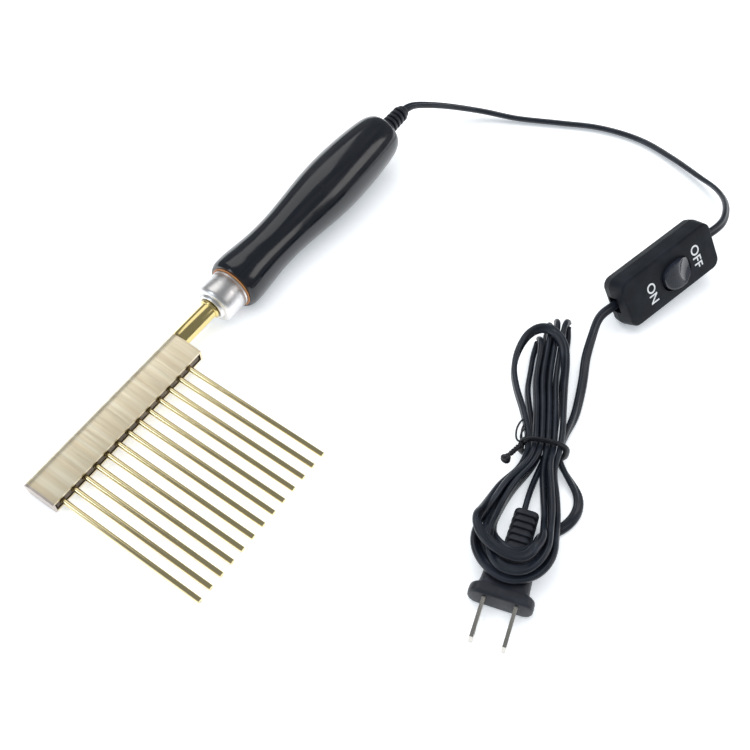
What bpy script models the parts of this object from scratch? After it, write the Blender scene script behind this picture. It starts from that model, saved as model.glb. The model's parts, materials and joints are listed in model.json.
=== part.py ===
"""Electrically heated uncapping fork, with its in-line switch, tied cord and plug.

Driving dimensions are in millimetres, and every helper turns them into metres. The fork's own frame
has X along its axis from the head to the handle, its tines towards -Y, and X = 0 at the middle tine.
The fork rests on the floor at Z = 0, on the handle's front swell, the last tine's tip and the
head's end.
"""
import math

import bmesh
import bpy
from mathutils import Matrix, Vector

MM = 0.001
GAP = 0.3  # between pieces that touch on the real object

# The fork's place on the floor
FORK_AT = (-88.34, 36.34, 7.02)
FORK_PITCH = 3.88  # degrees, handle end up
FORK_ROLL = 2.07  # degrees, tine tips down

# Tines
TINES = 13
TINE_PITCH = 6.5
TINE_DIAMETER = 2.4
TINE_TIP = -86.8
TINE_ROOT = -8.6

# Heating head
HEAD_END = -44.0
HEAD_NECK = 47.5
HEAD_FACE = -13.3  # the open side, where the tines come out
HEAD_BACK = 4.4
HEAD_NOSE = -0.8  # where the rounded back starts
HEAD_HALF = 3.8  # half thickness at the middle
HEAD_FACE_HALF = 3.15
HEAD_WALL = 0.9
CAP_THICK = 1.0
BAR_DEPTH = 4.6
BAR_RECESS = 0.5
CORE_Y = -3.0
CORE_RADIUS = 1.5
COIL_RADIUS = 1.95
COIL_TURNS = 12

# Neck, ferrule and handle
NECK_RADIUS = 4.1
NECK_BORE = 3.2
NECK_TAIL = 76.0
BEAD_RADIUS = 4.9
BEAD_AT = 68.6
FERRULE_FRONT = 70.4
FERRULE_BACK = 83.6
FERRULE_RADIUS = 9.9
BOSS_FRONT = 69.2
BOSS_RADIUS = 6.6
TENON_RADIUS = 8.7
HANDLE_BORE = 4.4
HANDLE_END = 203.4
# Turned outline of the handle: (distance along the axis, radius)
HANDLE_SHAPE = (
    (84.1, 11.9), (85.6, 12.8), (90.7, 13.1), (98.8, 12.45), (107.0, 11.75), (115.5, 11.5),
    (124.0, 11.75), (132.5, 12.45), (141.5, 13.35), (150.5, 14.15), (161.0, 14.6), (170.0, 14.5),
    (178.0, 14.15), (187.0, 13.45), (193.5, 12.7), (198.5, 11.7), (201.8, 10.2), (203.2, 8.2),
)
RELIEF_START = 190.0
RELIEF_OUT = 203.8
RELIEF_END = 221.0
RELIEF_RADIUS = 4.3
RELIEF_RIBS = 5
RELIEF_BORE = 2.6

# Cord: a flat twin lead, drawn here as a plain round tube
CORD_RADIUS = 2.0
POINT_STEP = 6.0  # spacing of a tube's points
# Routes over the floor, in the assembly's frame
TO_SWITCH = (
    (133.2, 35.8, 22.0), (138.6, 34.9, 21.2), (146.0, 31.6, 18.2), (155.6, 26.0, 13.8),
    (165.2, 18.3, 9.2), (173.1, 9.8, 5.6), (180.5, -3.4, 3.0), (191.8, -24.4, 2.3),
    (200.9, -43.5, 2.3), (204.9, -65.1, 2.3), (201.5, -85.2, 3.0), (194.2, -104.8, 5.2),
    (189.0, -113.8, 8.0), (180.0, -122.0, 12.0), (168.9, -127.3, 16.0), (158.5, -129.7, 18.2),
    (150.6, -128.9, 19.2), (145.9, -127.3, 18.9), (141.5, -126.1, 18.3),
)
TO_HANK = (
    (90.4, -111.7, 12.3), (85.9, -110.4, 11.9), (80.1, -108.6, 10.9), (69.1, -111.0, 6.8),
    (60.7, -113.5, 4.0), (51.8, -117.5, 2.7), (42.8, -121.0, 2.4), (31.1, -124.8, 2.6),
    (16.4, -126.5, 4.5), (8.3, -128.7, 5.6), (5.0, -133.1, 4.8), (2.1, -138.5, 3.4),
    (-2.0, -145.5, 2.4), (-8.4, -148.8, 2.3), (-14.1, -148.9, 2.3),
)

# Hank: its waist is where the tie holds it
WAIST = (5.9, -122.8)
UPPER_TURN = 23.6  # degrees, direction of the upper half
LOWER_TURN = 198.2  # degrees, direction of the lower half
UPPER_BASE = 2.9
UPPER_THICK = 8.2
# Outline of the upper half: (along, across)
UPPER_SHAPE = (
    (-6.0, -5.6), (8.0, -7.0), (20.0, -12.0), (34.0, -17.0), (48.0, -18.0), (60.0, -14.5),
    (70.0, -7.5), (75.0, 0.5), (73.0, 6.5), (64.0, 9.5), (48.0, 9.8), (34.0, 9.0), (20.0, 7.2),
    (8.0, 4.2), (-6.0, 3.0),
)
LOOP_RADIUS = 3.5
# Lower loops: (along, across, height), over the plug's body
LOWER_LOOP = (
    (8.4, -6.6, 7.3), (18.0, -10.0, 6.2), (30.0, -12.4, 5.2), (42.0, -13.6, 5.8),
    (50.0, -14.0, 8.2), (55.0, -13.6, 11.8), (59.0, -11.0, 14.4), (63.0, -6.0, 14.9),
    (64.5, 0.0, 15.1), (63.0, 6.0, 14.9), (59.0, 11.0, 14.4), (55.0, 13.6, 11.8),
    (50.0, 14.0, 8.2), (42.0, 13.6, 5.8), (30.0, 12.0, 5.2), (18.0, 8.2, 6.2), (8.4, 1.6, 7.3),
)
PLUG_LEAD = ((9.4, -2.5, 2.3), (14.0, -2.2, 2.6), (20.0, -1.2, 4.0), (29.2, -0.3, 5.6))
TIE_WIRE = 0.6
TIE_HALF_WIDTH = 9.3
TIE_HALF_HEIGHT = 6.2
TIE_CENTRE = (0.8, 7.2)  # across, height

# In-line switch: X along it, Y across, Z out of its top face
SWITCH_AT = (115.34, -120.26, 16.20)
SWITCH_YAW = -15.7
SWITCH_PITCH = 6.5
SWITCH_ROLL = 59.5  # it lies tipped on its long edge
SWITCH_LENGTH = 57.0
SWITCH_WIDTH = 25.0
SWITCH_HALF = 6.5
SWITCH_SEAM = -1.5
SWITCH_WALL = 1.5
SWITCH_CORNER = 4.5
NOTCH_WIDTH = 8.0
NOTCH_LOW = -4.4
NOTCH_HIGH = 1.0
ROCKER_X = 2.6
ROCKER_Y = -1.0
PIVOT_Z = 3.0
ROCKER_HALF = (8.0, 5.8)
ROCKER_HOLE = (8.7, 6.3)
ROCKER_RIDGE = 5.7  # height of the ridge over the pivot
ROCKER_END = 3.5  # height of the ends over the pivot
ROCKER_SKIRT = -1.6
ROCKER_REST = 8.0  # degrees, OFF end pressed
TRUNNION_RADIUS = 1.0
TRUNNION_END = 7.9
PLUNGER_RADIUS = 1.2
PLUNGER_BORE = 1.6
BRIDGE_Z = -1.5
BRIDGE_REST = -4.8  # degrees
CASE_SCREWS = ((-20.5, -7.8), (20.5, 7.8))

# Plug: X out of its front face, along the blades
PLUG_AT = (-63.04, -145.22, 5.6)
PLUG_YAW = 196.4
FLANGE_WIDTH = 26.0
FLANGE_THICK = 5.0
PLUG_HEIGHT = 10.4
BODY_WIDTH = 19.4
GRIP_WIDTH = 10.6
GRIP_START = -24.0
GRIP_END = -41.5
GRIP_SCALE = 0.82
GRIP_RIBS = 5
BLADE_SPACING = 12.7
BLADE_WIDTH = 6.35
BLADE_THICK = 1.5
BLADE_OUT = 17.6
BLADE_IN = 6.0
BLADE_HOLE = 1.55

ALONG_X = (0.0, math.pi / 2, 0.0)  # turns a piece made along Z to lie along X
ALONG_Y = (math.pi / 2, 0.0, 0.0)


# --- helpers -----------------------------------------------------------------------------------

def clear_scene():
    for obj in list(bpy.data.objects):
        bpy.data.objects.remove(obj, do_unlink=True)


def new_collection(name):
    collection = bpy.data.collections.new(name)
    bpy.context.scene.collection.children.link(collection)
    return collection


def finish_named(name, colour, roughness, metallic=0.0):
    material = bpy.data.materials.new(name)
    material.use_nodes = True
    shader = material.node_tree.nodes["Principled BSDF"]
    shader.inputs["Base Color"].default_value = (*colour, 1.0)
    shader.inputs["Roughness"].default_value = roughness
    shader.inputs["Metallic"].default_value = metallic
    return material


def frame_empty(name, matrix, parent=None):
    empty = bpy.data.objects.new(name, None)
    PARTS.objects.link(empty)
    empty.parent = parent
    empty.matrix_basis = matrix
    return empty


def place(obj, parent, finish, at=(0, 0, 0), turn=(0, 0, 0)):
    obj.parent = parent
    obj.location = Vector(at) * MM
    obj.rotation_euler = turn
    if finish:
        obj.data.materials.append(finish)
    return obj


def from_bmesh(name, shape):
    mesh = bpy.data.meshes.new(name)
    shape.to_mesh(mesh)
    shape.free()
    obj = bpy.data.objects.new(name, mesh)
    PARTS.objects.link(obj)
    return obj


def smooth_shaded(obj, angle=35):
    obj.data.shade_smooth()
    obj.data.set_sharp_from_angle(angle=math.radians(angle))
    return obj


def bevelled(obj, width, segments=2, angle=40):
    bevel = obj.modifiers.new("Bevel", "BEVEL")
    bevel.width = width * MM
    bevel.segments = segments
    bevel.limit_method = "ANGLE"
    bevel.angle_limit = math.radians(angle)
    return obj


def block(name, size, bevel=0.0):
    """A box centred on its origin."""
    shape = bmesh.new()
    bmesh.ops.create_cube(shape, size=1.0)
    bmesh.ops.scale(shape, vec=Vector(size) * MM, verts=shape.verts)
    obj = from_bmesh(name, shape)
    return bevelled(obj, bevel) if bevel else obj


def rod(name, radius, start, end, sides=16):
    """A cylinder along local Z, from start to end."""
    shape = bmesh.new()
    bmesh.ops.create_cone(shape, cap_ends=True, segments=sides, radius1=radius * MM,
                          radius2=radius * MM, depth=(end - start) * MM)
    bmesh.ops.translate(shape, vec=(0, 0, (start + end) / 2 * MM), verts=shape.verts)
    return smooth_shaded(from_bmesh(name, shape))


def turned(name, profile, steps=32):
    """A ring turned about local Z. The profile is a closed loop of (along, radius), its outer side
    from the far end to the near one and its bore back."""
    shape = bmesh.new()
    corners = [shape.verts.new((radius * MM, 0, along * MM)) for along, radius in profile]
    for index, corner in enumerate(corners):
        shape.edges.new((corners[index - 1], corner))
    obj = from_bmesh(name, shape)
    screw = obj.modifiers.new("Screw", "SCREW")
    screw.axis = "Z"
    screw.steps = screw.render_steps = steps
    screw.use_merge_vertices = True
    screw.merge_threshold = 1e-6
    screw.use_smooth_shade = True
    return obj


def as_mesh(obj):
    """The evaluated shape of a curve, as a mesh object in the same place."""
    graph = bpy.context.evaluated_depsgraph_get()
    mesh = bpy.data.meshes.new_from_object(obj.evaluated_get(graph))
    shape = bmesh.new()
    shape.from_mesh(mesh)
    bmesh.ops.remove_doubles(shape, verts=shape.verts, dist=1e-6)
    shape.to_mesh(mesh)
    shape.free()
    name = obj.name
    bpy.data.objects.remove(obj, do_unlink=True)
    solid = bpy.data.objects.new(name, mesh)
    PARTS.objects.link(solid)
    return solid


def plate(name, outline, thickness):
    """A flat outline in local XY, its thickness centred on Z = 0."""
    curve = bpy.data.curves.new(name, "CURVE")
    curve.dimensions = "2D"
    curve.fill_mode = "BOTH"
    curve.extrude = thickness / 2 * MM
    spline = curve.splines.new("POLY")
    spline.points.add(len(outline) - 1)
    for point, (x, y) in zip(spline.points, outline):
        point.co = (x * MM, y * MM, 0, 1)
    spline.use_cyclic_u = True
    obj = bpy.data.objects.new(name, curve)
    PARTS.objects.link(obj)
    return as_mesh(obj)


def tube(name, points, radius, roundness=3):
    curve = bpy.data.curves.new(name, "CURVE")
    curve.dimensions = "3D"
    curve.bevel_depth = radius * MM
    curve.bevel_resolution = roundness
    curve.use_fill_caps = True
    spline = curve.splines.new("POLY")
    spline.points.add(len(points) - 1)
    for point, place_at in zip(spline.points, points):
        point.co = (*(Vector(place_at) * MM), 1)
    obj = bpy.data.objects.new(name, curve)
    PARTS.objects.link(obj)
    return obj


def smooth_through(points, step=POINT_STEP, closed=False):
    """Points of a Catmull-Rom curve through the given ones, about a step apart."""
    points = [Vector(point) for point in points]
    count = len(points)
    found = []
    for index in range(count if closed else count - 1):
        if closed:
            before, start, end, after = (points[(index + shift) % count] for shift in (-1, 0, 1, 2))
        else:
            before, start = points[max(index - 1, 0)], points[index]
            end, after = points[index + 1], points[min(index + 2, count - 1)]
        pieces = max(1, round((end - start).length / step))
        for piece in range(pieces):
            t = piece / pieces
            found.append(0.5 * (2 * start + (end - before) * t
                                + (2 * before - 5 * start + 4 * end - after) * t * t
                                + (3 * start - before - 3 * end + after) * t ** 3))
    if not closed:
        found.append(points[-1])
    return found


def as_cutter(obj):
    obj.hide_render = True
    obj.display_type = "WIRE"
    for collection in list(obj.users_collection):
        collection.objects.unlink(obj)
    CUTTERS.objects.link(obj)
    return obj


def boolean(obj, other, operation="DIFFERENCE"):
    as_cutter(other)
    modifier = obj.modifiers.new(other.name, "BOOLEAN")
    modifier.operation = operation
    modifier.object = other
    modifier.solver = "EXACT"


def rounded_outline(length, width, corner, steps=5):
    """A rectangle with round corners, anticlockwise."""
    outline = []
    for quarter, (side_x, side_y) in enumerate(((1, 1), (-1, 1), (-1, -1), (1, -1))):
        for step in range(steps + 1):
            angle = math.radians(90 * (quarter + step / steps))
            outline.append((side_x * (length / 2 - corner) + corner * math.cos(angle),
                            side_y * (width / 2 - corner) + corner * math.sin(angle)))
    return outline


def oval_outline(half_x, half_y, steps=28, power=2.5):
    """A superellipse, between an ellipse and a rounded rectangle."""
    outline = []
    for step in range(steps):
        angle = 2 * math.pi * step / steps
        reach = [math.copysign(abs(part) ** (2 / power), part)
                 for part in (math.cos(angle), math.sin(angle))]
        outline.append((half_x * reach[0], half_y * reach[1]))
    return outline


# --- heating head ------------------------------------------------------------------------------

def head_section(inset=0.0):
    """The head's outline across its length as (height, across), open at the tine side, running
    round the back."""
    half, face_half = HEAD_HALF - inset, HEAD_FACE_HALF - inset
    shoulder = HEAD_NOSE - 5.0
    section = [(face_half, HEAD_FACE), (half, shoulder)]
    nose_depth = HEAD_BACK - inset - HEAD_NOSE
    for step in range(9):
        angle = math.pi * step / 8
        section.append((half * math.cos(angle), HEAD_NOSE + nose_depth * math.sin(angle)))
    return section + [(-half, shoulder), (-face_half, HEAD_FACE)]


def along_head(name, outline, start, end, finish):
    """A plate whose outline is given as (height, across), stretched along the head."""
    obj = plate(name, [(-height, across) for height, across in outline], end - start)
    return place(obj, FORK, finish, ((start + end) / 2, 0, 0), ALONG_X)


def tine_x(index):
    """The first tine is the one nearest the neck."""
    return ((TINES - 1) / 2 - index) * TINE_PITCH


def make_head(brass, dark_brass, satin, ceramic, wire):
    shell_start, shell_end = HEAD_END + CAP_THICK + GAP, HEAD_NECK - CAP_THICK - GAP
    channel = head_section() + head_section(HEAD_WALL)[::-1]
    along_head("head_shell", channel, shell_start, shell_end, brass)
    along_head("head_end_cap", head_section(), HEAD_END, HEAD_END + CAP_THICK, satin)
    neck_plate = along_head("neck_plate", head_section(), HEAD_NECK - CAP_THICK, HEAD_NECK, brass)
    wiring = rod("wiring_hole", 2.4, -3, 3)
    boolean(neck_plate, place(wiring, FORK, None, (HEAD_NECK, -0.2, 0), ALONG_X))

    bar_front = HEAD_FACE + BAR_RECESS
    bar_half = HEAD_FACE_HALF - HEAD_WALL - GAP
    bar = block("tine_bar", (shell_end - shell_start - 1.0, BAR_DEPTH, 2 * bar_half))
    place(bar, FORK, dark_brass, (0.5 * (shell_start + shell_end), bar_front + BAR_DEPTH / 2, 0))
    for index in range(TINES):
        hole = rod(f"tine_hole_{index + 1:02d}", TINE_DIAMETER / 2 + GAP, -3.5, 3.5, 12)
        at = (tine_x(index), bar_front + BAR_DEPTH / 2, 0)
        boolean(bar, place(hole, FORK, None, at, ALONG_Y))
        tine = rod(f"tine_{index + 1:02d}", TINE_DIAMETER / 2, -TINE_ROOT, -TINE_TIP, 12)
        place(tine, FORK, brass, (tine_x(index), 0, 0), ALONG_Y)

    core = rod("heater_core", CORE_RADIUS, HEAD_END + 5, HEAD_NECK - 5, 12)
    place(core, FORK, ceramic, (0, CORE_Y, 0), ALONG_X)
    steps = 8
    first, last = HEAD_END + 8, HEAD_NECK - 8
    coil = []
    for step in range(COIL_TURNS * steps + 1):
        angle = 2 * math.pi * step / steps
        along = first + (last - first) * step / (COIL_TURNS * steps)
        coil.append((along, CORE_Y + COIL_RADIUS * math.cos(angle), COIL_RADIUS * math.sin(angle)))
    place(tube("heating_wire", coil, 0.13, 0), FORK, wire)


# --- neck, ferrule and handle ------------------------------------------------------------------

def make_neck(brass, satin, sleeve_finish, lead_finish, crimp_finish):
    neck = [
        (NECK_TAIL, NECK_RADIUS), (BEAD_AT + 1.0, NECK_RADIUS), (BEAD_AT + 0.5, BEAD_RADIUS),
        (BEAD_AT - 0.4, BEAD_RADIUS - 0.2), (BEAD_AT - 1.4, NECK_RADIUS),
        (HEAD_NECK + GAP, NECK_RADIUS), (HEAD_NECK + GAP, NECK_BORE), (NECK_TAIL, NECK_BORE),
    ]
    place(turned("neck_tube", neck, 24), FORK, brass, turn=ALONG_X)

    inside = FERRULE_RADIUS - 0.8
    hole = NECK_RADIUS + GAP
    ferrule = [
        (FERRULE_BACK, FERRULE_RADIUS), (FERRULE_FRONT + 3.0, FERRULE_RADIUS - 0.15),
        (FERRULE_FRONT + 1.2, FERRULE_RADIUS - 0.45), (FERRULE_FRONT + 0.3, FERRULE_RADIUS - 1.2),
        (FERRULE_FRONT, FERRULE_RADIUS - 2.2), (FERRULE_FRONT, BOSS_RADIUS + 0.2),
        (BOSS_FRONT + 0.5, BOSS_RADIUS), (BOSS_FRONT, BOSS_RADIUS - 0.6), (BOSS_FRONT + 0.2, 5.3),
        (FERRULE_FRONT, hole), (FERRULE_FRONT + 1.0, hole), (FERRULE_FRONT + 1.0, inside - 1.0),
        (FERRULE_FRONT + 2.2, inside), (FERRULE_BACK, inside),
    ]
    place(turned("ferrule", ferrule), FORK, satin, turn=ALONG_X)

    sleeve = [(97.0, 2.9), (HEAD_NECK + 2, 2.9), (HEAD_NECK + 2, 2.3), (97.0, 2.3)]
    place(turned("insulating_sleeve", sleeve, 16), FORK, sleeve_finish, turn=ALONG_X)
    for number, side in ((1, 1), (2, -1)):
        lead = [(HEAD_NECK - 4, 1.1 * side - 0.2, 0), (HEAD_NECK + 6, 1.1 * side, 0),
                (90, 1.2 * side, 0), (101, 1.8 * side, 0)]
        lead = smooth_through(lead)
        place(tube(f"heater_lead_{number}", lead, 0.6, 1), FORK, lead_finish)
        splice = rod(f"lead_splice_{number}", 1.3, 101.3, 112.0, 12)
        place(splice, FORK, crimp_finish, (0, 1.8 * side, 0), ALONG_X)


def make_handle(wood, rubber, cord):
    outer = [point.to_tuple()[:2] for point in smooth_through(
        [(along, radius, 0) for along, radius in HANDLE_SHAPE], 5.0)]
    profile = outer[::-1] + [
        (FERRULE_BACK + 0.5, 10.4), (FERRULE_BACK + GAP, 9.9), (FERRULE_BACK + GAP, TENON_RADIUS),
        (NECK_TAIL - 3, TENON_RADIUS), (NECK_TAIL - 3, HANDLE_BORE),
        (RELIEF_START - GAP, HANDLE_BORE), (RELIEF_START - GAP, RELIEF_RADIUS + 1.0),
        (HANDLE_END, RELIEF_RADIUS + 1.0),
    ]
    place(turned("handle", profile), FORK, wood, turn=ALONG_X)

    outside = [(RELIEF_END, 2.9), (RELIEF_END - 0.8, 3.4), (RELIEF_END - 2.2, 3.4)]
    rib_pitch = (RELIEF_END - 3.0 - RELIEF_OUT) / RELIEF_RIBS
    for rib in range(RELIEF_RIBS):
        top = RELIEF_END - 3.0 - rib * rib_pitch
        radius = RELIEF_RADIUS - 0.25 + 0.06 * rib
        outside += [(top, radius - 0.7), (top - 0.25 * rib_pitch, radius),
                    (top - 0.75 * rib_pitch, radius), (top - rib_pitch, radius - 0.7)]
    relief = outside + [(RELIEF_OUT, RELIEF_RADIUS + 0.5), (RELIEF_START, RELIEF_RADIUS + 0.5),
                        (RELIEF_START, RELIEF_BORE), (RELIEF_END, RELIEF_BORE)]
    place(turned("strain_relief", relief, 20), FORK, rubber, turn=ALONG_X)
    lead = [(112.6, 0, 0), (150, 0, 0), (RELIEF_START, 0, 0), (RELIEF_END + 0.2, 0, 0)]
    place(tube("handle_lead", lead, CORD_RADIUS, 2), FORK, cord)


# --- cord and hank -----------------------------------------------------------------------------

def on_hank(points, turn, side=1):
    """Hank points (along, across, height) put on the floor: across is to the right of along, or to
    its left where side is -1."""
    angle = math.radians(turn)
    along = Vector((math.cos(angle), math.sin(angle), 0))
    across = side * Vector((math.sin(angle), -math.cos(angle), 0))
    start = Vector((*WAIST, 0))
    return [start + along * p[0] + across * p[1] + Vector((0, 0, p[2])) for p in points]


def make_cord(cord, tie_finish):
    place(tube("cord_to_switch", smooth_through(TO_SWITCH), CORD_RADIUS), None, cord)
    place(tube("cord_to_hank", smooth_through(TO_HANK), CORD_RADIUS), None, cord)

    outline = smooth_through([(along, -across, 0) for along, across in UPPER_SHAPE], 6.0, True)
    upper = plate("hank_upper", [point[:2] for point in outline], UPPER_THICK)
    bevelled(upper, 2.0)
    height = UPPER_BASE + UPPER_THICK / 2
    place(upper, None, cord, (*WAIST, height), (0, 0, math.radians(UPPER_TURN)))

    # The lower half points the other way, so both halves count across towards the same side
    loop = smooth_through(on_hank(LOWER_LOOP, LOWER_TURN, -1), 5.0)
    place(tube("hank_lower", loop, LOOP_RADIUS), None, cord)
    lead = smooth_through(on_hank(PLUG_LEAD, LOWER_TURN, -1), 5.0)
    place(tube("plug_lead", lead, CORD_RADIUS), None, cord)

    ends = ((-4.0, -15.0, 9.0), (-2.0, -12.0, 7.6)), ((-1.2, -12.4, 10.2), (-2.2, -15.4, 11.8))
    around = oval_outline(TIE_HALF_WIDTH, TIE_HALF_HEIGHT, 24, 3.0)
    band = []
    for step in range(1, 24):
        across, height = around[(12 + step) % 24]
        drift = 1.2 * (step / 24 - 0.5)
        band.append((drift, TIE_CENTRE[0] + across, TIE_CENTRE[1] + height))
    wire = smooth_through(on_hank([*ends[0], *band, *ends[1]], UPPER_TURN), 2.5)
    place(tube("twist_tie", wire, TIE_WIRE, 2), None, tie_finish)


# --- in-line switch ----------------------------------------------------------------------------

def case_half(name, low, high, closed_high, finish):
    """One half of the case: a tray with its floor at the closed side."""
    height = high - low
    outline = rounded_outline(SWITCH_LENGTH, SWITCH_WIDTH, SWITCH_CORNER)
    half = plate(name, outline, height)
    for corner in half.data.vertices:  # the closed side is a little smaller, as moulded
        if (corner.co.z > 0) == closed_high:
            corner.co.x *= 1 - 1.2 / SWITCH_LENGTH
            corner.co.y *= 1 - 1.2 / SWITCH_WIDTH
    place(half, SWITCH, finish, (0, 0, (low + high) / 2))
    shift = -SWITCH_WALL if closed_high else SWITCH_WALL
    room = plate(f"{name}_room", rounded_outline(SWITCH_LENGTH - 2 * SWITCH_WALL - 0.6,
                 SWITCH_WIDTH - 2 * SWITCH_WALL - 0.6, SWITCH_CORNER - SWITCH_WALL), height)
    boolean(half, place(room, SWITCH, None, (0, 0, (low + high) / 2 + shift)))
    for side in (-1, 1):
        notch = block(f"{name}_notch_{side}", (8, NOTCH_WIDTH, NOTCH_HIGH - NOTCH_LOW))
        at = (side * SWITCH_LENGTH / 2, 0, (NOTCH_LOW + NOTCH_HIGH) / 2)
        boolean(half, place(notch, SWITCH, None, at))
    return half


def make_switch_case(plastic, steel):
    cover = case_half("switch_cover", SWITCH_SEAM + GAP / 2, SWITCH_HALF, True, plastic)
    base = case_half("switch_base", -SWITCH_HALF, SWITCH_SEAM - GAP / 2, False, plastic)
    window = plate("rocker_window", oval_outline(*ROCKER_HOLE), 6.0)
    boolean(cover, place(window, SWITCH, None, (ROCKER_X, ROCKER_Y, SWITCH_HALF)))
    for side in (-1, 1):
        bearing = block(f"bearing_{side}", (5.0, 1.2, 4.2))
        at = (ROCKER_X, ROCKER_Y + side * 7.5, PIVOT_Z + 0.3)
        boolean(cover, place(bearing, SWITCH, None, at), "UNION")
    socket = rod("pivot_socket", TRUNNION_RADIUS + GAP, -12, 12)
    boolean(cover, place(socket, SWITCH, None, (ROCKER_X, ROCKER_Y, PIVOT_Z), ALONG_Y))

    for number, (x, y) in enumerate(CASE_SCREWS, 1):
        boss = rod(f"boss_{number}", 2.7, SWITCH_SEAM + 0.4, SWITCH_HALF - 0.8)
        boolean(cover, place(boss, SWITCH, None, (x, y, 0)), "UNION")
        boolean(cover, place(rod(f"pilot_{number}", 1.3, -3, 4.5), SWITCH, None, (x, y, 0)))
        post = rod(f"post_{number}", 3.4, -SWITCH_HALF + 0.5, SWITCH_SEAM - 0.6)
        boolean(base, place(post, SWITCH, None, (x, y, 0)), "UNION")
        recess = rod(f"recess_{number}", 2.6, -9, -4.2)
        boolean(base, place(recess, SWITCH, None, (x, y, 0)))
        boolean(base, place(rod(f"passage_{number}", 1.3, -9, 0), SWITCH, None, (x, y, 0)))

        screw = rod(f"case_screw_{number}", 2.2, -6.0, -4.5)
        place(screw, SWITCH, steel, (x, y, 0))
        boolean(screw, place(rod(f"shank_{number}", 1.0, -5, 3.5), SWITCH, None, (x, y, 0)), "UNION")
        slot = block(f"driver_slot_{number}", (5, 0.7, 1.0))
        boolean(screw, place(slot, SWITCH, None, (x, y, -6.2)))


def make_rocker(gloss, steel, copper):
    """The button with its plunger and spring, on the pivot's axis."""
    rocker = plate("rocker", oval_outline(*ROCKER_HALF), 9.0)
    place(rocker, ROCKER_AXIS, gloss, (0, 0, ROCKER_SKIRT + 4.5))
    # Two facets that meet in a ridge: what lies under this roof is kept
    fall = (ROCKER_RIDGE - ROCKER_END) / ROCKER_HALF[0]
    eaves = ROCKER_RIDGE - 12 * fall
    roof = plate("rocker_roof", [(-12, -9), (12, -9), (12, eaves), (0, ROCKER_RIDGE), (-12, eaves)], 30)
    boolean(rocker, place(roof, ROCKER_AXIS, None, turn=ALONG_Y), "INTERSECT")
    trunnion = rod("trunnion", TRUNNION_RADIUS, -TRUNNION_END, TRUNNION_END, 12)
    boolean(rocker, place(trunnion, ROCKER_AXIS, None, turn=ALONG_Y), "UNION")
    bore = rod("plunger_bore", PLUNGER_BORE, -4, 3.0)
    boolean(rocker, place(bore, ROCKER_AXIS, None))

    place(rod("plunger", PLUNGER_RADIUS, -3.6, 0.4), ROCKER_AXIS, copper)
    turns, steps = 3, 8
    coil = [(0.95 * math.cos(2 * math.pi * step / steps), 0.95 * math.sin(2 * math.pi * step / steps),
             0.95 + 1.5 * step / (turns * steps)) for step in range(turns * steps + 1)]
    place(tube("plunger_spring", coil, 0.16, 0), ROCKER_AXIS, steel)


def make_contacts(copper, brass, steel):
    """The rocking bridge, its two fixed terminals and their screws."""
    bridge = block("contact_bridge", (11.0, 3.2, 0.6))
    place(bridge, BRIDGE_AXIS, copper, (0, 0, 0.3))
    button = rod("bridge_button", 1.0, -0.4, 0.2, 12)
    boolean(bridge, place(button, BRIDGE_AXIS, None, (4.4, 0, 0)), "UNION")

    floor = -SWITCH_HALF + SWITCH_WALL + GAP
    for name, x, side, top in (("pivot_terminal", 0.0, -1, BRIDGE_Z - GAP),
                               ("line_terminal", 4.4, 1, BRIDGE_Z - 1.35)):
        upright = block(name, (0.8, 3.0, top - floor))
        place(upright, SWITCH, brass, (ROCKER_X + x, ROCKER_Y, (top + floor) / 2))
        foot_length = 11.0
        foot_x = ROCKER_X + x + side * (foot_length / 2 - 0.4)
        foot = block(f"{name}_foot", (foot_length, 4.4, 0.8))
        boolean(upright, place(foot, SWITCH, None, (foot_x, ROCKER_Y, floor + 0.4)), "UNION")
        screw_x = foot_x + side * 2.8
        hole = rod(f"{name}_hole", 1.2, -1, 2, 12)
        boolean(upright, place(hole, SWITCH, None, (screw_x, ROCKER_Y, floor)))
        number = 1 if side < 0 else 2
        screw = rod(f"terminal_screw_{number}", 1.9, 1.1, 2.2)
        place(screw, SWITCH, steel, (screw_x, ROCKER_Y, floor))
        shank = rod(f"{name}_shank", 0.9, 0.1, 1.3, 12)
        boolean(screw, place(shank, SWITCH, None, (screw_x, ROCKER_Y, floor)), "UNION")


# --- plug --------------------------------------------------------------------------------------

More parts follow.
